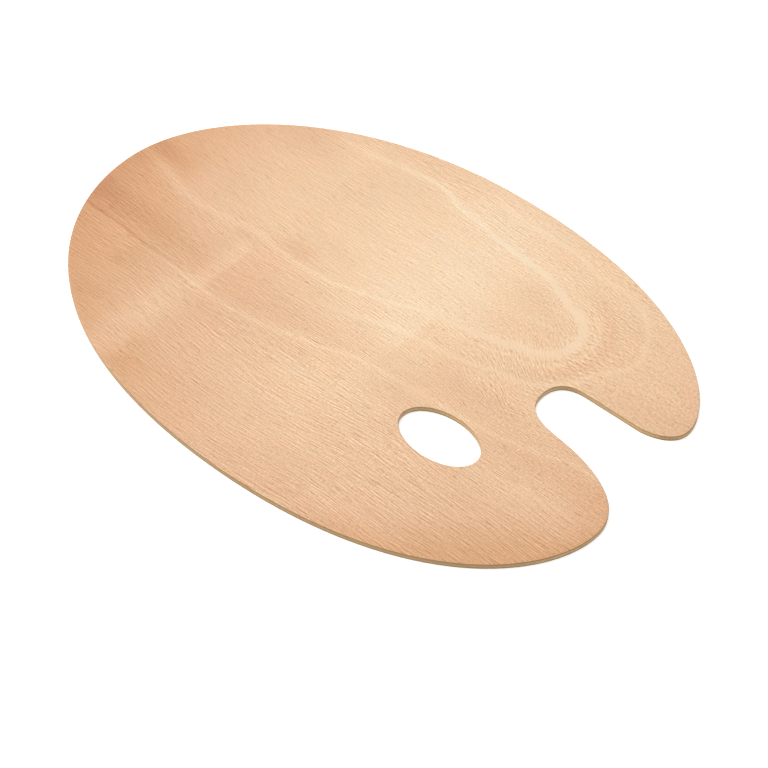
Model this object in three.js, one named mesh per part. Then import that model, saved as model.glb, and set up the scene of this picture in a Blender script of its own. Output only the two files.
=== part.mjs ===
// Oval mixing palette, sawn from one sheet of three-ply board.
//
// Millimetres, +Z up. The origin is on the back face, under the middle of the board's length
// and width. +X runs along the face grain to the finger notch, and the mixing face looks up.
// The plies are stacked back to front: back veneer, glue, cross-grained core, glue, face veneer.

import * as THREE from 'three';

// ---- board ------------------------------------------------------------------

const LENGTH = 300;
const WIDTH = 207;
const VENEER = 0.5;
const GLUE = 0.0625;
const CORE = 1.5;

// The saw's sharp rims are sanded round, on the outer veneers only.
const RIM_RADIUS = 0.25;
const RIM_STEPS = 2;

// ---- outline ----------------------------------------------------------------

// The sawn line is smooth. It goes anticlockwise from the tail, through stations where its
// heading is known (degrees from +X). Each reach says how full the curve is on that side of
// the station: it is the length of the curve's handle along the heading.
const OUTLINE = [
  // tail: the end away from the notch
  { x: -LENGTH / 2, y: 2.5, heading: -90, reachIn: 48, reachOut: 50 },
  // belly: the middle of the long side that the thumb hole is on
  { x: 7.5, y: -WIDTH / 2, heading: 0, reachIn: 110, reachOut: 106 },
  // lower horn: the broad lobe under the notch, which the hand closes over
  { x: LENGTH / 2, y: -27, heading: 90, reachIn: 28, reachOut: 18.5 },
  // notch floor, where the lobe's hollow turns into the root
  { x: 108.5, y: 1, heading: 173, reachIn: 18.5, reachOut: 8 },
  // notch root: the deepest point, where the fingers come through
  { x: 87.5, y: 15.5, heading: 90, reachIn: 12.5, reachOut: 10.5 },
  // notch roof: the straight side, from its inner to its outer end
  { x: 101, y: 27.5, heading: 0, reachIn: 5, reachOut: 9 },
  { x: 128, y: 27.5, heading: 0, reachIn: 9, reachOut: 5 },
  // upper horn: the narrow lobe over the notch
  { x: 145, y: 40, heading: 90, reachIn: 9.5, reachOut: 19 },
  // crown: the middle of the other long side
  { x: 5, y: WIDTH / 2, heading: 180, reachIn: 100, reachOut: 95 },
];

// Longest distance that a curve's handle may stand off its chord.
const FLATNESS = 0.055;

// ---- thumb hole -------------------------------------------------------------

const THUMB_X = 71;
const THUMB_Y = -31;
const THUMB_LENGTH = 39.5;
const THUMB_WIDTH = 24.5;
const THUMB_STEPS = 44;

// ---- outline curves ---------------------------------------------------------

function standOff(point, start, end) {
  const along = end.clone().sub(start);
  const across = point.clone().sub(start);
  return Math.abs(along.cross(across)) / along.length();
}

// Adds the curve's start and as many points along it as its bend needs, but not its end.
function flatten(a, b, c, d, points) {
  if (Math.max(standOff(b, a, d), standOff(c, a, d)) < FLATNESS) {
    points.push(a);
    return;
  }
  const ab = a.clone().lerp(b, 0.5);
  const bc = b.clone().lerp(c, 0.5);
  const cd = c.clone().lerp(d, 0.5);
  const abc = ab.clone().lerp(bc, 0.5);
  const bcd = bc.clone().lerp(cd, 0.5);
  const middle = abc.clone().lerp(bcd, 0.5);
  flatten(a, ab, abc, middle, points);
  flatten(middle, bcd, cd, d, points);
}

function handle(station, reach) {
  const heading = THREE.MathUtils.degToRad(station.heading);
  return new THREE.Vector2(
    station.x + reach * Math.cos(heading),
    station.y + reach * Math.sin(heading),
  );
}

function outlineLoop() {
  const points = [];
  OUTLINE.forEach((from, index) => {
    const to = OUTLINE[(index + 1) % OUTLINE.length];
    flatten(
      new THREE.Vector2(from.x, from.y),
      handle(from, from.reachOut),
      handle(to, -to.reachIn),
      new THREE.Vector2(to.x, to.y),
      points,
    );
  });
  return points;
}

// The hole's edge runs clockwise, so that the wood is on its left, as it is on the outline's.
function thumbLoop() {
  const clockwise = true;
  const ellipse = new THREE.EllipseCurve(
    THUMB_X, THUMB_Y, THUMB_LENGTH / 2, THUMB_WIDTH / 2, 0, 2 * Math.PI, clockwise,
  );
  return ellipse.getPoints(THUMB_STEPS).slice(0, THUMB_STEPS);
}

// Moves a loop into the wood by an inset, square to its own line at each point.
function insetLoop(loop, inset) {
  return loop.map((point, index) => {
    const before = loop[(index + loop.length - 1) % loop.length];
    const after = loop[(index + 1) % loop.length];
    const along = after.clone().sub(before).normalize();
    return new THREE.Vector2(point.x - along.y * inset, point.y + along.x * inset);
  });
}

// ---- plies ------------------------------------------------------------------

const LOOPS = [outlineLoop(), thumbLoop()];

// One ply, from a list of levels going up. At each level the rim is drawn in by its inset.
function plyGeometry(levels) {
  const positions = [];
  const indices = [];
  const levelSize = LOOPS[0].length + LOOPS[1].length;

  levels.forEach(({ z, inset }) => {
    LOOPS.forEach((loop) => {
      insetLoop(loop, inset).forEach((point) => positions.push(point.x, point.y, z));
    });
  });

  for (let level = 0; level + 1 < levels.length; level += 1) {
    let first = level * levelSize;
    LOOPS.forEach((loop) => {
      loop.forEach((_, index) => {
        const a = first + index;
        const b = first + (index + 1) % loop.length;
        indices.push(a, b, b + levelSize);
        indices.push(a, b + levelSize, a + levelSize);
      });
      first += loop.length;
    });
  }

  const top = (levels.length - 1) * levelSize;
  THREE.ShapeUtils.triangulateShape(LOOPS[0], [LOOPS[1]]).forEach(([a, b, c]) => {
    indices.push(c, b, a);
    indices.push(top + a, top + b, top + c);
  });

  const geometry = new THREE.BufferGeometry();
  geometry.setAttribute('position', new THREE.Float32BufferAttribute(positions, 3));
  geometry.setIndex(indices);
  geometry.computeVertexNormals();
  return geometry;
}

// Levels of a quarter-round, from the flat face's rim (inset by the radius) to the wall.
function roundedRim(faceZ, direction) {
  const levels = [];
  for (let step = 0; step <= RIM_STEPS; step += 1) {
    const angle = (step / RIM_STEPS) * (Math.PI / 2);
    levels.push({
      z: faceZ + direction * RIM_RADIUS * (1 - Math.cos(angle)),
      inset: RIM_RADIUS * (1 - Math.sin(angle)),
    });
  }
  return levels;
}

const palette = new THREE.Group();
palette.name = 'mixing_palette';

function addPly(name, levels, color, roughness) {
  const material = new THREE.MeshStandardMaterial({ color, roughness, metalness: 0 });
  const ply = new THREE.Mesh(plyGeometry(levels), material);
  ply.name = name;
  palette.add(ply);
}

const lowerGlueZ = VENEER;
const coreZ = lowerGlueZ + GLUE;
const upperGlueZ = coreZ + CORE;
const faceVeneerZ = upperGlueZ + GLUE;
const topZ = faceVeneerZ + VENEER;

addPly('back_veneer', [...roundedRim(0, 1), { z: lowerGlueZ, inset: 0 }], 0xd9b48c, 0.7);
addPly('glue_line_lower', [{ z: lowerGlueZ, inset: 0 }, { z: coreZ, inset: 0 }], 0x6e5036, 0.5);
addPly('core_ply', [{ z: coreZ, inset: 0 }, { z: upperGlueZ, inset: 0 }], 0xc2a074, 0.8);
addPly('glue_line_upper', [{ z: upperGlueZ, inset: 0 }, { z: faceVeneerZ, inset: 0 }], 0x6e5036, 0.5);
addPly('face_veneer', [{ z: faceVeneerZ, inset: 0 }, ...roundedRim(topZ, -1).reverse()], 0xecc098, 0.6);

export default palette;
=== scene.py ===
"""Looks for the oval plywood mixing palette: five plies with sawn, sanded edges and wood grain.

Metres, in the CAD frame: +X along the face grain to the finger notch, +Z out of the mixing face.
Shapes and wood figure are written in millimetres and scaled by MM.
"""

import math
from collections import namedtuple

import bmesh
import bpy
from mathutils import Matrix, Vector, noise
from mathutils.geometry import delaunay_2d_cdt


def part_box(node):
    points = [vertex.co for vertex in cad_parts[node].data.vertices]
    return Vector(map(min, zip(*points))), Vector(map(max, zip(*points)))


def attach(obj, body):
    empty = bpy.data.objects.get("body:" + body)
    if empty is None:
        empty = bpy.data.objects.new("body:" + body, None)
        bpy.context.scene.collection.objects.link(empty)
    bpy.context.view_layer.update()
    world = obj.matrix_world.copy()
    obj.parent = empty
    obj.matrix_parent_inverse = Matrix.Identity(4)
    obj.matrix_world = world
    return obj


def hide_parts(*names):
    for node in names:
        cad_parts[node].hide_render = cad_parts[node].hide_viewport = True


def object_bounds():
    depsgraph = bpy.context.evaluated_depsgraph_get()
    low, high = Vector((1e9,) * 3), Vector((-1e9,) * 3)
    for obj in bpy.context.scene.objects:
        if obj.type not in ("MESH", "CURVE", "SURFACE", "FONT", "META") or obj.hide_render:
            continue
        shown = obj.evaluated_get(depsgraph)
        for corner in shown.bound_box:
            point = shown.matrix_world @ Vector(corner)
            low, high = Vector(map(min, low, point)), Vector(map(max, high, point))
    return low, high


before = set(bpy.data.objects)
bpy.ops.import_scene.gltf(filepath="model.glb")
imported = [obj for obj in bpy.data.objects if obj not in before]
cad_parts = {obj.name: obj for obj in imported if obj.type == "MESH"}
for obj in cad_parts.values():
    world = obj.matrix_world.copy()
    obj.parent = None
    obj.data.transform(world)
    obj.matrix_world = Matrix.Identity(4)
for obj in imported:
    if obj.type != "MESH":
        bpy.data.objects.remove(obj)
cad_low, cad_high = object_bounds()

MM = 0.001

# ---- the sawn outline ---------------------------------------------------------------------

HALF_LENGTH = cad_high.x / MM
HALF_WIDTH = cad_high.y / MM

# The stations of the saw line, anticlockwise: x, y, heading in degrees, and how far the curve's
# handle reaches back and forward along the heading.
OUTLINE = (
    (-HALF_LENGTH, 2.5, -90, 48, 50),  # tail
    (7.5, -HALF_WIDTH, 0, 110, 106),  # belly
    (HALF_LENGTH, -27, 90, 28, 18.5),  # lower horn
    (108.5, 1, 173, 18.5, 8),  # notch floor
    (87.5, 15.5, 90, 12.5, 10.5),  # notch root
    (101, 27.5, 0, 5, 9),  # notch roof, inner end
    (128, 27.5, 0, 9, 5),  # notch roof, outer end
    (145, 40, 90, 9.5, 19),  # upper horn
    (5, HALF_WIDTH, 180, 100, 95),  # crown
)
THUMB_CENTRE = (71, -31)
THUMB_HALF = (19.75, 12.25)

EDGE_STEP = 0.8  # mm between the points of an edge
CURVE_STEPS = 400  # fine steps that a curve of the outline is measured by
THUMB_STEPS = 1600  # and the whole thumb hole


def bezier_points(start, end):
    """Fine points of the curve between two stations, without its last."""
    (x0, y0, turn0, _, reach0), (x3, y3, turn3, reach3, _) = start, end
    a0, a3 = math.radians(turn0), math.radians(turn3)
    p0, p3 = Vector((x0, y0)), Vector((x3, y3))
    p1 = p0 + reach0 * Vector((math.cos(a0), math.sin(a0)))
    p2 = p3 - reach3 * Vector((math.cos(a3), math.sin(a3)))
    points = []
    for i in range(CURVE_STEPS):
        t = i / CURVE_STEPS
        s = 1 - t
        points.append(
            s * s * s * p0 + 3 * s * s * t * p1 + 3 * s * t * t * p2 + t * t * t * p3
        )
    return points


def evenly_spaced(points, step):
    """The closed loop through the points, respaced to about one step."""
    lengths = [0.0]
    for a, b in zip(points, points[1:] + points[:1]):
        lengths.append(lengths[-1] + (b - a).length)
    count = round(lengths[-1] / step)
    spaced, i = [], 0
    for k in range(count):
        want = lengths[-1] * k / count
        while lengths[i + 1] < want:
            i += 1
        share = (want - lengths[i]) / (lengths[i + 1] - lengths[i])
        spaced.append(points[i].lerp(points[(i + 1) % len(points)], share))
    return spaced


def outline_loop():
    points = []
    for start, end in zip(OUTLINE, OUTLINE[1:] + OUTLINE[:1]):
        points += bezier_points(start, end)
    return evenly_spaced(points, EDGE_STEP)


def thumb_loop():
    """The hole's edge, clockwise, so that its wood is on the left as the outline's is."""
    (middle_x, middle_y), (half_x, half_y) = THUMB_CENTRE, THUMB_HALF
    points = []
    for i in range(THUMB_STEPS):
        a = -2 * math.pi * i / THUMB_STEPS
        points.append(Vector((middle_x + half_x * math.cos(a), middle_y + half_y * math.sin(a))))
    return evenly_spaced(points, EDGE_STEP)


def inward(loop):
    """Unit vectors into the wood at each point of a loop."""
    out = []
    for i in range(len(loop)):
        along = (loop[(i + 1) % len(loop)] - loop[i - 1]).normalized()
        out.append(Vector((-along.y, along.x)))
    return out


LOOPS = [(loop, inward(loop)) for loop in (outline_loop(), thumb_loop())]

# ---- plies --------------------------------------------------------------------------------

RIM_RADIUS = 0.25  # mm, sanded on the outer veneers' rims
RIM_STEPS = 6
RIM_VARIES = 0.3  # share of the radius by which hand sanding varies
RIM_VARIES_OVER = 23  # mm
RIM_SEED = 3
LAND = 1.2  # mm of flat face inside the rim, so that its shading stays flat
SAW_MARKS = 0.025  # mm, how unevenly the sawn wall is cut back
SAW_MARKS_APART = 1.7  # mm
SAW_SEED = 7
GLUE_SET_BACK = 0.05  # mm
CORE_STEPS = 5  # levels of uneven wall up the core
INSIDE_EDGES = 1  # the kind of triangulation that keeps within the outline
SAME_POINT = 1e-7

# One height of a ply: z and how far the edge is set back, in mm, and whether it is sanded there.
Level = namedtuple("Level", "z set_back sanded")


def uneven(point, z, size, seed):
    """Smooth random number from -1 to 1 at a place on the edge, with features of that size."""
    return noise.noise(Vector((point.x / size, point.y / size, z / size + seed)))


def add_cap(bm, ring, up):
    """Flat triangles over one level, from the outline's verts to the thumb hole's."""
    verts = [vert for loop in ring for vert in loop]
    places = [Vector((vert.co.x / MM, vert.co.y / MM)) for vert in verts]
    edges, first = [], 0
    for loop in ring:
        edges += [(first + i, first + (i + 1) % len(loop)) for i in range(len(loop))]
        first += len(loop)
    _, _, triangles, came_from, *_ = delaunay_2d_cdt(
        places, edges, [], INSIDE_EDGES, SAME_POINT
    )
    for triangle in triangles:
        corners = [came_from[i][0] for i in triangle]
        in_hole = min(corners) >= len(ring[0])
        if not in_hole:
            bm.faces.new([verts[i] for i in (corners if up else corners[::-1])])


def ply_mesh(name, levels):
    """One ply as a closed mesh, from its levels going up."""
    bm = bmesh.new()
    rings = []  # for each level, the verts round the outline and round the thumb hole
    for level in levels:
        ring = []
        for loop, normals in LOOPS:
            verts = []
            for point, normal in zip(loop, normals):
                if level.sanded:
                    worn = 1 + RIM_VARIES * uneven(point, 0, RIM_VARIES_OVER, RIM_SEED)
                    depth = level.set_back * worn
                else:
                    cut = 1 + uneven(point, level.z, SAW_MARKS_APART, SAW_SEED)
                    depth = level.set_back + SAW_MARKS * cut
                at = point + normal * depth
                verts.append(bm.verts.new((at.x * MM, at.y * MM, level.z * MM)))
            ring.append(verts)
        rings.append(ring)
    for low, high in zip(rings, rings[1:]):
        for below, above in zip(low, high):
            for i in range(len(below)):
                j = (i + 1) % len(below)
                bm.faces.new((below[i], below[j], above[j], above[i]))
    add_cap(bm, rings[0], False)
    add_cap(bm, rings[-1], True)
    for face in bm.faces:
        face.smooth = True
    mesh = bpy.data.meshes.new(name)
    bm.to_mesh(mesh)
    bm.free()
    return mesh


def rounded_rim(face_z, direction):
    """Levels from the flat face to the wall, round a sanded quarter-round."""
    levels = [Level(face_z, RIM_RADIUS + LAND, True)]
    for i in range(RIM_STEPS + 1):
        angle = math.pi / 2 * i / RIM_STEPS
        z = face_z + direction * RIM_RADIUS * (1 - math.cos(angle))
        levels.append(Level(z, RIM_RADIUS * (1 - math.sin(angle)), i < RIM_STEPS))
    return levels


def plain_wall(low, high, steps, set_back=0.0):
    return [Level(low + (high - low) * i / steps, set_back, False) for i in range(steps + 1)]


def back_levels(low, high):
    return rounded_rim(low, 1) + [Level(high, 0, False)]


def glue_levels(low, high):
    return plain_wall(low, high, 1, GLUE_SET_BACK)


def core_levels(low, high):
    return plain_wall(low, high, CORE_STEPS)


def face_levels(low, high):
    return [Level(low, 0, False)] + rounded_rim(high, -1)[::-1]


def add_ply(name, levels, material):
    node_low, node_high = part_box(name)
    low, high = node_low.z / MM, node_high.z / MM
    ply = bpy.data.objects.new(name + "_wood", ply_mesh(name + "_wood", levels(low, high)))
    bpy.context.scene.collection.objects.link(ply)
    ply.data.materials.append(material)
    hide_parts(name)
    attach(ply, "root")


# ---- node expressions ---------------------------------------------------------------------

# A strand's line has a share of its own copy, this far across the grain, taken off it.
STRAND_GAP = 0.65  # mm
STRAND_SHARE = 0.75

# How near a cell's own point, in cells, a dash begins to show and is at its darkest.
DASH_EDGE, DASH_HEART = 0.27, 0.1

# The sockets of a mix node that are for colours.
MIX_SHARE, MIX_FROM, MIX_TO, MIX_RESULT = 0, 6, 7, 2


class Field:
    """A node's output that can be used in sums."""

    def __init__(self, graph, socket):
        self.graph, self.socket = graph, socket

    def __add__(self, other):
        return self.graph.math("ADD", self, other)

    def __sub__(self, other):
        return self.graph.math("SUBTRACT", self, other)

    def __mul__(self, other):
        return self.graph.math("MULTIPLY", self, other)

    def __truediv__(self, other):
        return self.graph.math("DIVIDE", self, other)

    def __radd__(self, other):
        return self.graph.math("ADD", other, self)

    def __rsub__(self, other):
        return self.graph.math("SUBTRACT", other, self)

    def __rmul__(self, other):
        return self.graph.math("MULTIPLY", other, self)

    def __abs__(self):
        return self.graph.math("ABSOLUTE", self)


class Graph:
    """Builds one material's nodes."""

    def __init__(self, name):
        self.material = bpy.data.materials.new(name)
        self.material.use_nodes = True
        self.tree = self.material.node_tree
        self.shader = self.tree.nodes["Principled BSDF"]

    def put(self, value, socket):
        if isinstance(value, Field):
            self.tree.links.new(value.socket, socket)
        else:
            socket.default_value = value

    def node(self, kind, inputs=(), **settings):
        made = self.tree.nodes.new(kind)
        for key, value in settings.items():
            setattr(made, key, value)
        for key, value in dict(inputs).items():
            self.put(value, made.inputs[key])
        return made

    def math(self, operation, a, b=None, c=None, clamp=False):
        inputs = [(i, v) for i, v in enumerate((a, b, c)) if v is not None]
        made = self.node("ShaderNodeMath", inputs, operation=operation, use_clamp=clamp)
        return Field(self, made.outputs[0])

    def place(self):
        """The point's own x, y, z in millimetres."""
        coordinates = self.node("ShaderNodeTexCoord")
        parts = self.node("ShaderNodeSeparateXYZ")
        self.tree.links.new(coordinates.outputs["Object"], parts.inputs[0])
        return [Field(self, out) / MM for out in parts.outputs]

    def normal(self):
        geometry = self.node("ShaderNodeNewGeometry")
        parts = self.node("ShaderNodeSeparateXYZ")
        self.tree.links.new(geometry.outputs["Normal"], parts.inputs[0])
        return [Field(self, out) for out in parts.outputs]

    def vector(self, x, y, z):
        made = self.node("ShaderNodeCombineXYZ", {0: x, 1: y, 2: z})
        return Field(self, made.outputs[0])

    def noise(self, x, y, z, detail=2.0, roughness=0.5):
        """Random from -1 to 1, mostly within half of that. On a flat face, z is the seed."""
        made = self.node(
            "ShaderNodeTexNoise",
            {
                "Vector": self.vector(x, y, z),
                "Scale": 1.0,
                "Detail": detail,
                "Roughness": roughness,
            },
        )
        return self.math("MULTIPLY_ADD", Field(self, made.outputs[0]), 2.0, -1.0)

    def strands(self, x, y, length, width, seed):
        """Thin light and dark lines along X, with nothing broader than about two widths."""
        line = self.noise(x / length, y / width, seed, detail=0.0)
        beside = self.noise(x / length, (y + STRAND_GAP) / width, seed, detail=0.0)
        return line - STRAND_SHARE * beside

    def cells(self, x, y, seed):
        """(distance to the nearest of scattered points, that point's own random number)."""
        place = self.vector(x, y, seed)
        made = self.node("ShaderNodeTexVoronoi", {"Vector": place, "Scale": 1.0}, feature="F1")
        parts = self.node("ShaderNodeSeparateColor")
        self.tree.links.new(made.outputs["Color"], parts.inputs[0])
        return Field(self, made.outputs["Distance"]), Field(self, parts.outputs[0])

    def dashes(self, x, y, length, width, seed, faintest, fullest):
        """Short lines along X, in cells of that size. The last two are the random numbers at
        which a cell's line begins to show and shows in full."""
        near, chance = self.cells(x / length, y / width, seed)
        return self.step(DASH_EDGE, DASH_HEART, near) * self.step(faintest, fullest, chance)

    def step(self, low, high, value):
        """Smooth step, 0 at low and 1 at high."""
        made = self.node(
            "ShaderNodeMapRange",
            {"Value": value, "From Min": low, "From Max": high, "To Min": 0.0, "To Max": 1.0},
            interpolation_type="SMOOTHSTEP",
        )
        return Field(self, made.outputs[0])

    def ridge(self, value, width):
        """1 where the value is 0, falling smoothly to 0 at that width."""
        return self.step(width, 0.0, abs(value))

    def run(self, value, start, length):
        """0 up to the start, then as far past it as the value is, but no more than the length."""
        past = self.math("MAXIMUM", value - start, 0.0)
        return self.math("MINIMUM", past, length)

    def curve(self, x, points):
        """The height of a smooth line through the points, at x. A curve node's points lie from
        0 to 1 both ways, so the line is fitted into that, and its result is scaled back."""
        xs, ys = [p[0] for p in points], [p[1] for p in points]
        x0, x1, y0, y1 = xs[0], xs[-1], min(ys), max(ys) + 1.0
        made = self.node("ShaderNodeFloatCurve")
        line = made.mapping.curves[0]
        while len(line.points) < len(points):
            line.points.new(0.5, 0.5)
        for dot, (px, py) in zip(line.points, points):
            dot.location = ((px - x0) / (x1 - x0), (py - y0) / (y1 - y0))
            dot.handle_type = "AUTO"
        made.mapping.extend = "HORIZONTAL"
        made.mapping.update()
        self.put((x - x0) / (x1 - x0), made.inputs["Value"])
        return Field(self, made.outputs[0]) * (y1 - y0) + y0

    def mix(self, share, a, b):
        """From colour a at share 0 to colour b at share 1."""
        made = self.node("ShaderNodeMix", data_type="RGBA")
        made.clamp_factor = True
        self.put(share, made.inputs[MIX_SHARE])
        self.put(a, made.inputs[MIX_FROM])
        self.put(b, made.inputs[MIX_TO])
        return Field(self, made.outputs[MIX_RESULT])

    def shade(self, colour, amount, shares):
        """The colour, with each channel changed by the amount times its own share of it."""
        made = self.node("ShaderNodeVectorMath", operation="MULTIPLY_ADD")
        self.put(amount, made.inputs[0])
        made.inputs[1].default_value = shares
        made.inputs[2].default_value = (1.0, 1.0, 1.0)
        lit = self.node("ShaderNodeVectorMath", operation="MULTIPLY")
        self.put(Field(self, made.outputs[0]), lit.inputs[0])
        self.put(colour, lit.inputs[1])
        return Field(self, lit.outputs[0])

    def finish(self, colour, roughness, height, distance, strength):
        """Puts a colour, a roughness and a bump of that height, in metres, on the shader."""
        self.put(colour, self.shader.inputs["Base Color"])
        self.put(roughness, self.shader.inputs["Roughness"])
        inputs = {"Height": height, "Distance": distance, "Strength": strength}
        bump = self.node("ShaderNodeBump", inputs)
        self.put(Field(self, bump.outputs[0]), self.shader.inputs["Normal"])
        return self.material


def srgb(red, green, blue):
    """A colour as it is seen, 0 to 255, in the linear values that shaders use."""

    def linear(v):
        v /= 255
        return v / 12.92 if v <= 0.04045 else ((v + 0.055) / 1.055) ** 2.4

    return (linear(red), linear(green), linear(blue), 1.0)


# ---- wood: tables -------------------------------------------------------------------------

# The face's colour follows one number, its tone: the green level, 0 to 255, that is seen in the
# studio's light. Each stop is (tone, the red and the blue level that go with it).
TONES = (
    (120, 183, 76),
    (145, 204, 98),
    (165, 218.5, 118.5),
    (185, 231, 145),
    (205, 243.5, 165.5),
    (220, 249.5, 183.5),
    (235, 253, 203),
)
STUDIO_LIGHT = 1.44  # how much brighter than its colour a level face is seen
LEVEL_SHARES = (0.0079, 0.0116, 0.0148)  # share of its light that one level is, in each channel
BLUSH_SHARES = (0.026, 0.0, -0.018)  # a redder tint of the same tone
BACK_TONE = 190

# Tone of the middle of the board, and how it falls away along X and along Y: partly the wood's own
# tone, partly painted light, the light's fall-off towards the ends and rims.
MIDDLE_TONE = 213
TONE_ALONG = (
    (-150, -52), (-120, -34), (-100, -26), (-80, -18), (-50, -13.5), (-20, -6), (0, -1), (20, 0),
    (45, -5), (80, -11), (120, -19), (150, -33),
)
TONE_ACROSS = (
    (-104, -27), (-85, -22), (-55, -13), (-25, -12), (-8, -6), (5, -2), (35, 1), (65, 0), (80, -1),
    (92, -3), (104, -7),
)

# The light growth-line loop: its two sides, and where the round end that closes it begins.
LOOP_TOP = (
    (-150, 79), (-110, 79), (-70, 79.5), (-50, 82), (-30, 84.5), (-15, 80), (0, 77.5), (20, 74),
    (40, 72), (55, 67.5), (64, 63),
)
LOOP_BOTTOM = (
    (-150, 12), (-125, 6), (-105, 2), (-90, 2.5), (-70, 5.5), (-50, 3.5), (-30, 4), (-15, 7),
    (0, 11), (20, 18.5), (40, 22.5), (55, 26.5), (64, 30),
)
LOOP_END_X = 64
# The growth lines under the loop and on the lower horn.
LOWER_LINE = (
    (-150, -33), (-120, -33.5), (-100, -34.5), (-80, -35), (-55, -36.5), (-40, -36), (-30, -34.5),
    (-15, -30.5), (0, -27), (15, -22), (30, -20), (50, -18.3), (80, -16.5), (100, -12.5), (120, -6),
)
HORN_LINE = ((90, -34), (100, -33), (115, -31), (130, -28), (150, -26))
# Soft lighter and darker patches: middle, half length and half width, and change of tone.
PATCHES = (
    (20, -38, 20, 12, 6),
    (-50, 11, 16, 11, -9),
    (65, -3, 40, 17, -8),
    (-92, 72, 26, 14, -5),
    (-58, -90, 18, 12, -6),
    (95, 62, 28, 26, -4),
    (20, 16, 26, 9, -4),
    (-10, -12, 20, 9, 5),
    (-102, 50, 26, 12, 5),
    (122, -32, 26, 16, 5),
    (62, -86, 30, 9, 6),
    (-128, 20, 18, 14, -9),
    (-28, 21, 30, 9, -5),
    (40, -22, 9, 12, -4),
    (-72, 5, 24, 10, -5),
    (-100, -42, 16, 12, -6),
    (-98, -70, 18, 12, -6),
    (88, -84, 20, 9, 6),
    (140, -38, 14, 14, 5),
    (62, 4, 14, 9, 6),
    (20, -26, 12, 9, 5),
    (48, 50, 18, 12, -6),
    (18, 46, 20, 12, 4),
    (-145, 12, 14, 15, -10),
    (-42, 10, 10, 8, -6),
    (2, -46, 16, 10, 4),
    (42, -36, 9, 9, 4),
    (-62, -76, 18, 10, -4),
    (112, -62, 20, 12, -3),
)

EDGE_VENEER = srgb(138, 105, 64)
EDGE_END_GRAIN = srgb(119, 88, 52)
CORE_SIDE = srgb(172, 142, 97)
CORE_END_GRAIN = srgb(141, 113, 72)
GLUE_BROWN = srgb(80, 56, 34)
RIM_PAINTED_SHADE = (-0.30, -0.28, -0.22)  # painted shade: the sanded rims' rounding is darkened as if it lay in shade
PALER_EDGE_SHARES = (0.28, 0.34, 0.46)  # how much paler an edge is made: in the notch, the hole and towards the horns, and, as painted light, the core towards the tail

# The normal's upward part where the face ends and where its sawn edge begins, and at the middle
# of the sanded rim; and its part along the fibres where they are cut side on and end on.
FACE_ENDS, EDGE_BEGINS = 0.97, 0.75
RIM_UP, RIM_UP_WIDTH = 0.8, 0.2
CUT_SIDE_ON, CUT_END_ON = 0.25, 0.85
# Distance from the middle, squared, as a share of the oval's: the outer rim is at 1.
OUTER_RIM, WELL_INSIDE = 0.97, 0.9

FACE_ROUGHNESS = 0.52
BACK_ROUGHNESS = 0.62
CORE_ROUGHNESS = 0.72
GLUE_ROUGHNESS = 0.45
GRAIN_DEPTH = 0.00005  # m
GRAIN_BUMP = 0.5
SAWN_BUMP = 0.6
GLUE_DEPTH = 0.00002  # m
GLUE_BUMP = 0.4

# ---- wood: the face -----------------------------------------------------------------------
#
# Each part of the figure is a sum of changes of tone. A change is its size in levels, times the
# ridges and steps, in mm, that say where it is seen.

Growth = namedtuple("Growth", "wobble fades off_middle above loop tail band outer_band")


def growth_figure(g, x, y):
    """Where the point lies on the loop. Growth.loop is how far outside the loop's line it is."""
    wobble = 0.7 * g.noise(x / 14, y / 9, 8.0)
    fades = 0.85 + 0.4 * g.noise(x / 30, y / 20, 9.0, detail=1.0)
    top, bottom = g.curve(x, LOOP_TOP), g.curve(x, LOOP_BOTTOM)
    past = g.math("MAXIMUM", x - LOOP_END_X, 0.0)
    off_middle = y - 0.5 * (top + bottom)
    reach = g.math("SQRT", past * past + off_middle * off_middle)
    loop = reach - 0.5 * (top - bottom) + wobble
    above = g.step(-12.0, 12.0, off_middle)

    tail = g.step(-50.0, -85.0, x)
    broad = 0.65 + 0.35 * g.step(0.0, 60.0, x) + 0.3 * g.step(50.0, 75.0, x) + 0.5 * tail
    near_loop = loop / broad
    band = g.step(-2.6, -1.2, near_loop) * g.step(3.2, 0.3, near_loop)

    outer = loop - 14.0 - 3.5 * g.step(0.0, 60.0, x)
    outer = outer - above * (3.0 + 7.0 * g.step(40.0, 100.0, x))
    outer_band = g.ridge(outer, 2.6)
    return Growth(wobble, fades, off_middle, above, loop, tail, band, outer_band)


def ground_tone(g, x, y):
    """The board's broad light and dark: its fall towards the edges, which is partly painted light
    fall-off and partly the wood's tone, and its soft patches.
    """
    tone = g.curve(x, TONE_ALONG) + g.curve(y, TONE_ACROSS) + MIDDLE_TONE
    tone = tone + 4.0 * g.step(-10.0, -35.0, y) * g.step(25.0, 60.0, x)
    # partly painted shade: darker towards the lower horn's corner, part of the same fall-off
    lower_horn_corner = g.step(136.0, 166.0, 0.8 * x - y)
    tone = tone - 12.0 * lower_horn_corner
    for middle_x, middle_y, half_x, half_y, change in PATCHES:
        tone = tone + change * g.ridge(x - middle_x, half_x) * g.ridge(y - middle_y, half_y)
    return tone


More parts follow.
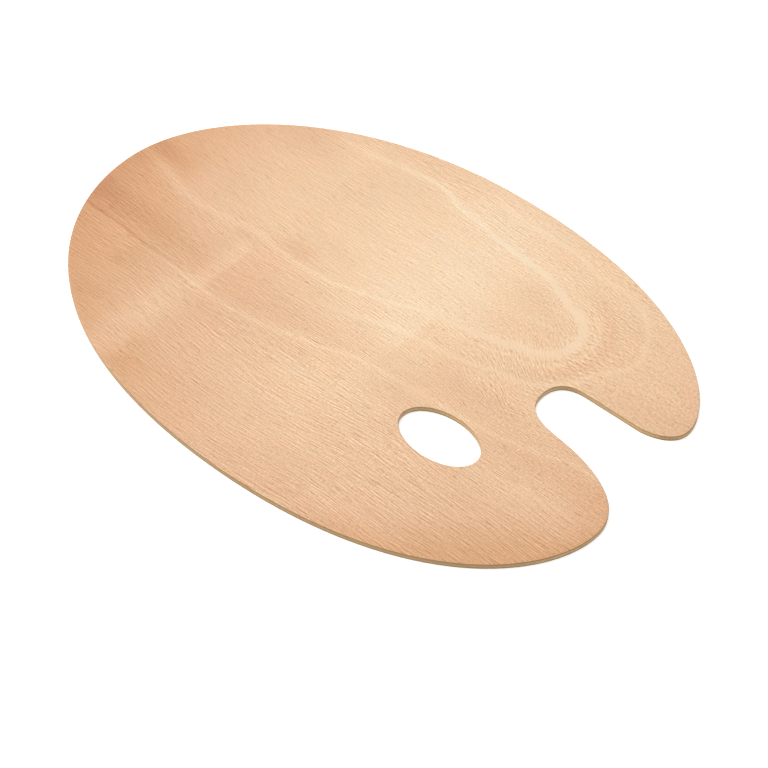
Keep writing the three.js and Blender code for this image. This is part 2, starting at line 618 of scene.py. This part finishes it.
def loop_tone(g, x, growth):
    """The loop, with a smooth pale band, and the rings inside and outside it."""
    loop, tail = growth.loop, growth.tail
    shown = 1.0 - 0.7 * growth.above * g.step(-55.0, -95.0, x)
    shown = shown - 0.45 * g.ridge(x - 27.0, 40.0) * g.step(8.0, -8.0, growth.off_middle)
    crisp = (10.5 - 4.0 * tail) * growth.fades * growth.band
    glow = (3.0 + 2.0 * tail) * g.ridge(loop, 7.0)
    tone = shown * (crisp + glow)

    # round the loop's end
    tone = tone + 5.5 * g.ridge(loop - 6.5, 2.0) * g.step(25.0, 60.0, x)
    tone = tone - 7.5 * g.ridge(loop - 12.0, 6.0) * g.step(60.0, 85.0, x)
    tone = tone + 8.0 * growth.outer_band * g.step(-40.0, 10.0, x)
    tone = tone - 7.5 * g.ridge(loop + 12.0, 10.0) * g.step(25.0, 55.0, x)

    # under it, and inside it at the tail
    tone = tone - 4.5 * g.step(-10.0, 5.0, loop) * g.step(10.0, -10.0, growth.off_middle)
    tone = tone - 11.0 * g.ridge(loop + 9.0, 7.0) * g.step(-112.0, -138.0, x)
    return tone


def lower_lines_tone(g, x, y, growth):
    """The growth lines under the loop and on the lower horn, with the dark wood beside them."""
    lower = y - g.curve(x, LOWER_LINE) + 0.6 * growth.wobble
    far_tail = g.step(-85.0, -112.0, x)
    tone = (9.0 - 6.0 * far_tail) * growth.fades * g.ridge(lower, 1.8)
    tone = tone + 2.5 * g.ridge(lower, 6.0)
    tone = tone + 4.0 * g.ridge(lower + 4.0, 6.0) * far_tail
    tone = tone - 15.0 * g.ridge(lower - 1.7, 1.5) * g.step(-60.0, -105.0, x)
    tone = tone - 5.0 * g.ridge(lower - 11.0, 13.0) * g.step(-60.0, -120.0, x)
    tone = tone - 4.0 * g.ridge(lower - 13.0, 13.0) * g.step(40.0, 0.0, x)

    horn = y - g.curve(x, HORN_LINE) + 0.5 * growth.wobble
    pale = 4.0 * g.ridge(horn, 2.2) + 5.0 * g.ridge(horn, 18.0)
    return tone + pale * g.step(88.0, 98.0, x)


def painted_sheen_tone(g, x, y):
    """Painted sheen: lighter bars across the grain where the tilted fibres shine, put into the
    colour instead of coming from the light.
    """
    edge = 1.2 * g.noise(x / 9, y / 6, 11.0, detail=3.0)

    # the long bar near the tail: its right edge is crisp above, and soft under the lower line
    from_left = x + 2.5 * edge - 9.0 * g.step(-42.0, -28.0, y)
    crisp = g.step(-61.5, -65.0, x + edge)
    soft = g.step(-56.0, -69.0, x + 2.5 * edge)
    under = g.step(-33.0, -39.0, y)
    bar = g.step(-86.0, -73.0, from_left) * (crisp + under * (soft - crisp))
    streaky = 1.0 + 0.7 * g.noise(x / 18, y / 2.0, 21.0, detail=1.0)
    strength = 1.5 + 9.0 * g.step(4.0, -14.0, y) + 1.0 * g.step(-30.0, -60.0, y)

    # the short bright one in the middle, also painted sheen
    bright = g.step(-8.0, 18.0, x + 3.0 * edge) * g.step(26.5, 23.5, x + 1.5 * edge)
    bright = bright * g.step(32.0, 14.0, y) * g.step(-16.0, -4.0, y)
    return bar * streaky * strength + 7.0 * bright


def fibre_shift(g, x, y):
    """How far the fibres stand off their straight lines: they sway, and turn round the loop."""
    sway = 1.8 * g.noise(x / 42, y / 34, 4.0, detail=0.0)
    sway = sway + 0.4 * g.noise(x / 14, y / 10, 5.0, detail=1.0)

    round_the_end = g.run(x, 54.0, 26.0) * g.step(105.0, 25.0, y) * g.step(-65.0, 5.0, y)
    up_to_the_end = g.run(x, 5.0, 50.0) * g.ridge(y - 5.0, 35.0)
    from_the_tail = g.run(x, -135.0, 80.0) * g.ridge(y - 15.0, 55.0)
    at_the_belly = g.run(x, -72.0, 36.0) * g.ridge(y + 62.0, 32.0)
    under_the_hole = g.run(x, 5.0, 40.0) * g.step(-20.0, -55.0, y)
    turn = 0.45 * round_the_end + 0.09 * up_to_the_end + 0.13 * from_the_tail
    return sway + turn + 0.12 * at_the_belly - 0.12 * under_the_hole


def fine_grain(g, x, y, fibre_y, growth):
    """(levels of fine light and dark, fibres on their own, pores on their own)."""
    loop = growth.loop
    calm = g.step(8.0, -12.0, loop)  # inside the loop
    short = g.step(5.0, 65.0, x) * g.step(-35.0, 5.0, y)  # round the loop's end
    left = g.step(30.0, -70.0, x)
    low_right = g.step(10.0, 65.0, x) * g.step(5.0, -50.0, y)
    upper_horn = g.step(85.0, 115.0, x) * g.step(15.0, 35.0, y)
    neck = g.step(45.0, 80.0, x) * g.ridge(y + 10.0, 36.0)

    # the wood is coarser outside the loop, and most between the thumb hole and the notch
    coarse = 0.85 + 0.2 * g.step(-22.0, 12.0, loop) + 0.27 * low_right
    coarse = coarse - 0.15 * g.step(-50.0, -10.0, x) * g.step(5.0, -20.0, loop)
    coarse = coarse + 0.15 * g.ridge(y + 12.0, 38.0) * g.step(40.0, -10.0, x)
    coarse = coarse - 0.1 * g.ridge(y + 62.0, 30.0) * g.ridge(x, 45.0)
    coarse = coarse - 0.25 * g.ridge(y + 60.0, 30.0) * g.ridge(x - 112.0, 34.0)
    coarse = coarse - 0.25 * upper_horn + 0.55 * neck
    bands = g.math("MAXIMUM", growth.band * g.step(-20.0, 30.0, x), 0.6 * growth.outer_band)
    smooth = 1.0 - 0.75 * bands

    # fibres of several lengths, with short ones only where they turn round the loop's end
    fibre = g.strands(x, fibre_y, 7.0, 0.48, 6.0)
    hair = g.strands(x, fibre_y, 11.0, 0.36, 29.0)
    hatch = g.strands(x, fibre_y, 2.9, 0.42, 33.0)
    long_fibre = g.strands(x, fibre_y, 18.0, 0.45, 26.0)
    lengthy = 0.3 + 0.7 * g.step(-60.0, 60.0, x - 1.5 * y - 60.0)
    strand = (20.0 - 11.0 * short) * fibre + (19.0 - 15.0 * short - 3.0 * left) * hair
    strand = strand + (24.0 - 15.0 * upper_horn) * short * hatch
    strand = strand + 13.0 * (1.0 - short) * lengthy * long_fibre

    speck = g.noise(x / 1.1, fibre_y / 0.45, 16.0, detail=0.0)
    speckled = 27.0 + 8.0 * calm * short - 6.0 * low_right - 5.0 * short
    speckled = speckled + 9.0 * upper_horn - 9.0 * left

    # pores, in patches of short dark lines
    patch = 0.4 + 1.2 * g.step(-0.3, 0.3, g.noise(x / 24, fibre_y / 7, 12.0))
    long_pore = g.dashes(x, fibre_y, 10.0, 0.75, 7.0, 0.25, 0.5)
    short_pore = g.dashes(x, fibre_y, 5.0, 0.65, 13.0, 0.3, 0.7)
    pore = patch * g.math("MAXIMUM", long_pore, short_pore)

    fine = (1.0 - 0.25 * calm) * strand + speckled * speck - 17.0 * pore + 1.9
    return coarse * smooth * fine, fibre, pore


def face_blush(g, x, y, fibre_y):
    """How much redder the wood is than its tone's own colour."""
    blush = 1.3 * g.noise(x / 26, y / 12, 31.0)
    blush = blush + 0.8 * g.ridge(x + 50, 30) * g.ridge(y + 10, 34)
    blush = blush + 1.6 * g.noise(x / 8, fibre_y / 4.0, 35.0)
    return blush + 0.8 * g.step(-90.0, -135.0, x)


def tone_colour(g, tone):
    made = g.node("ShaderNodeValToRGB")
    ramp = made.color_ramp
    low, high = TONES[0][0], TONES[-1][0]
    while len(ramp.elements) < len(TONES):
        ramp.elements.new(0.5)
    for stop, (green, red, blue) in zip(ramp.elements, TONES):
        stop.position = (green - low) / (high - low)
        seen = srgb(red, green, blue)
        stop.color = [channel / STUDIO_LIGHT for channel in seen[:3]] + [1]
    g.put((tone - low) / (high - low), made.inputs[0])
    return Field(g, made.outputs[0])


def sawn_edge(g, side, end, along_x):
    """(colour, fibres) of a sawn edge: the fibres' sides, or their ends where they meet it."""
    x, y, z = g.place()
    across, along, _ = g.normal()
    oval = x * x / HALF_LENGTH ** 2 + y * y / HALF_WIDTH ** 2
    towards_horns = g.step(30.0, 110.0, x)
    # the edges are made paler inside the oval's rim, in the notch and the hole, and towards the
    # horns
    made_paler = g.math("MAXIMUM", g.step(OUTER_RIM, WELL_INSIDE, oval), 0.45 * towards_horns)
    if not along_x:
        x, y = y, x
        across = along
    ends = g.step(CUT_SIDE_ON, CUT_END_ON, abs(across))
    fibre = g.noise(x / 7, y / 0.9, z / 0.22, detail=3.0, roughness=0.6)
    tone = g.noise(x / 30, y / 30, z / 2)
    scorch = g.step(0.1, 0.5, g.noise(x / 9, y / 9, 3.0))
    browned = 0.45 * ends + 0.35 * scorch
    share = g.math("ADD", browned, 0.5 - 1.1 * fibre - 0.5 * tone, clamp=True)
    return g.shade(g.mix(share, side, end), made_paler, PALER_EDGE_SHARES), fibre


def with_edge(g, colour, up, rim_shade):
    """A veneer's face colour, turned into its sawn edge's past the rim, whose rounding is darkened
    with painted shade.
    """
    edge_colour, _ = sawn_edge(g, EDGE_VENEER, EDGE_END_GRAIN, True)
    colour = g.mix(g.step(FACE_ENDS, EDGE_BEGINS, up), colour, edge_colour)
    # painted shade darkens the rounded rim
    return g.shade(colour, g.ridge(up - RIM_UP, RIM_UP_WIDTH) * rim_shade, RIM_PAINTED_SHADE)


def wood_face():
    g = Graph("face_veneer_wood")
    x, y, _ = g.place()
    _, _, up = g.normal()
    growth = growth_figure(g, x, y)
    fibre_y = y + fibre_shift(g, x, y)

    tone = ground_tone(g, x, y) + loop_tone(g, x, growth)
    # with the painted sheen of the bars across the grain
    tone = tone + lower_lines_tone(g, x, y, growth) + painted_sheen_tone(g, x, y)
    cloud = g.noise(x / 42, y / 13, 1.0, detail=3.0)
    streak = g.noise(x / 22, fibre_y / 1.9, 3.0, roughness=0.6)
    tone = tone + 6.0 * cloud + 4.4 * streak

    fine, fibre, pore = fine_grain(g, x, y, fibre_y, growth)
    colour = g.shade(tone_colour(g, tone), fine, LEVEL_SHARES)
    colour = g.shade(colour, face_blush(g, x, y, fibre_y), BLUSH_SHARES)
    # painted shade on the rim, fading towards the horns
    colour = with_edge(g, colour, up, 1.0 - 0.6 * g.step(60.0, 120.0, x))
    roughness = FACE_ROUGHNESS + 0.15 * pore
    return g.finish(colour, roughness, fibre * 0.4 - pore, GRAIN_DEPTH, GRAIN_BUMP)


# ---- wood: the other plies ----------------------------------------------------------------


def wood_back():
    """The back: the same wood as the face, plainer and duller."""
    g = Graph("back_veneer_wood")
    x, y, _ = g.place()
    _, _, up = g.normal()
    fibre_y = y + 6.0 * g.noise(x / 60, y / 40, 44.0, detail=1.0)

    cloud = g.noise(x / 90, fibre_y / 16, 41.0, detail=3.0)
    streak = g.noise(x / 24, fibre_y / 2.4, 43.0, roughness=0.6)
    growth = g.noise(x / 160, fibre_y / 20, 47.0, detail=0.0)
    tone = BACK_TONE + 9.0 * cloud + 8.0 * streak
    tone = tone + 10.0 * g.ridge(growth, 0.05) - 9.0 * g.ridge(growth - 0.17, 0.05)

    fibre = g.strands(x, fibre_y, 12.0, 0.6, 46.0)
    speck = g.noise(x / 1.2, fibre_y / 0.5, 48.0, detail=0.0)
    pore = g.dashes(x, fibre_y, 10.0, 0.8, 49.0, 0.25, 0.5)
    fine = 24.0 * fibre + 18.0 * speck - 18.0 * pore + 2.0
    colour = g.shade(tone_colour(g, tone), fine, LEVEL_SHARES)
    blush = g.noise(x / 26, y / 9, 51.0) + 0.3
    colour = g.shade(colour, blush, BLUSH_SHARES)
    colour = with_edge(g, colour, -1.0 * up, 1.0)
    roughness = BACK_ROUGHNESS + 0.12 * pore
    return g.finish(colour, roughness, fibre * 0.4 - pore, GRAIN_DEPTH, GRAIN_BUMP)


def core():
    """The inner ply's edge: cross-grained, and, as painted light, paler towards the tail, where its
    walls face the lamps.
    """
    g = Graph("core_ply_wood")
    colour, fibre = sawn_edge(g, CORE_SIDE, CORE_END_GRAIN, False)
    x, _, _ = g.place()
    painted_light_at_tail = g.step(-10.0, -100.0, x)
    # painted light: the core's walls are paler towards the tail, which faces the lamps
    colour = g.shade(colour, painted_light_at_tail, PALER_EDGE_SHARES)
    return g.finish(colour, CORE_ROUGHNESS - 0.1 * fibre, fibre, GRAIN_DEPTH, SAWN_BUMP)


def glue():
    g = Graph("glue_film")
    x, y, z = g.place()
    tone = g.noise(x / 6, y / 6, z, detail=3.0)
    colour = g.mix(g.step(-0.5, 0.6, tone), GLUE_BROWN, EDGE_END_GRAIN)
    return g.finish(colour, GLUE_ROUGHNESS + 0.1 * tone, tone, GLUE_DEPTH, GLUE_BUMP)


glue_film = glue()
add_ply("back_veneer", back_levels, wood_back())
add_ply("glue_line_lower", glue_levels, glue_film)
add_ply("core_ply", core_levels, core())
add_ply("glue_line_upper", glue_levels, glue_film)
add_ply("face_veneer", face_levels, wood_face())

# ---- studio -------------------------------------------------------------------------------

FLOOR_HALF = 12.0
FLOOR_DROP = 0.00005
FLOOR_GREY = 0.93
FLOOR_ROUGHNESS = 0.9
FLOOR_SPECULAR = 0.1
FLOOR_GLOW = 0.25  # a light table, so that the board throws hardly any shadow
WHITE = (1, 1, 1, 1)
STUDIO_AIR = 1.043  # strength of the white all round
SOFTBOX_DISTANCE = 3.0

AIM = (0.03475, -0.0247, cad_high.z)
CAMERA_AZIMUTH = 42.1
CAMERA_ELEVATION = 47.5
CAMERA_DISTANCE = 0.837
LENS = 93.75
SENSOR = 36.0
NEAREST = 0.01

scene = bpy.context.scene
scene.view_settings.view_transform = "Standard"


def direction(azimuth, elevation):
    """From the palette towards a stand at that azimuth (0 is -Y, 90 is +X) and elevation."""
    a, e = math.radians(azimuth), math.radians(elevation)
    return Vector((math.sin(a) * math.cos(e), -math.cos(a) * math.cos(e), math.sin(e)))


def aimed(toward):
    """The turn that makes a lamp or a camera look back along that direction."""
    return toward.to_track_quat("Z", "Y").to_euler()


def paper():
    material = bpy.data.materials.new("paper_floor")
    material.use_nodes = True
    inputs = material.node_tree.nodes["Principled BSDF"].inputs
    inputs["Base Color"].default_value = (FLOOR_GREY, FLOOR_GREY, FLOOR_GREY, 1)
    inputs["Roughness"].default_value = FLOOR_ROUGHNESS
    inputs["Specular IOR Level"].default_value = FLOOR_SPECULAR
    inputs["Emission Color"].default_value = WHITE
    inputs["Emission Strength"].default_value = FLOOR_GLOW
    return material


def add_floor():
    mesh = bpy.data.meshes.new("floor")
    corners = [(-1, -1), (1, -1), (1, 1), (-1, 1)]
    verts = [(a * FLOOR_HALF, b * FLOOR_HALF, -FLOOR_DROP) for a, b in corners]
    mesh.from_pydata(verts, [], [(0, 1, 2, 3)])
    mesh.materials.append(paper())
    floor = bpy.data.objects.new("floor", mesh)
    scene.collection.objects.link(floor)


def add_air():
    world = bpy.data.worlds.new("studio")
    scene.world = world
    world.use_nodes = True
    inputs = world.node_tree.nodes["Background"].inputs
    inputs["Color"].default_value = WHITE
    inputs["Strength"].default_value = STUDIO_AIR


def add_softbox(name, azimuth, elevation, size, power):
    light = bpy.data.lights.new(name, "AREA")
    light.shape = "DISK"
    light.size = size
    light.energy = power
    lamp = bpy.data.objects.new(name, light)
    toward = direction(azimuth, elevation)
    lamp.location = toward * SOFTBOX_DISTANCE
    lamp.rotation_euler = aimed(toward)
    scene.collection.objects.link(lamp)


def add_camera():
    camera = bpy.data.objects.new("camera", bpy.data.cameras.new("camera"))
    scene.collection.objects.link(camera)
    scene.camera = camera
    camera.data.sensor_width = SENSOR
    camera.data.lens = LENS
    camera.data.clip_start = NEAREST
    toward = direction(CAMERA_AZIMUTH, CAMERA_ELEVATION)
    camera.location = Vector(AIM) + toward * CAMERA_DISTANCE
    camera.rotation_euler = aimed(toward)


add_floor()
add_air()
add_softbox("key_softbox", azimuth=-75, elevation=62, size=2.6, power=29.8)
add_softbox("side_softbox", azimuth=-60, elevation=8, size=1.0, power=75.0)
add_camera()
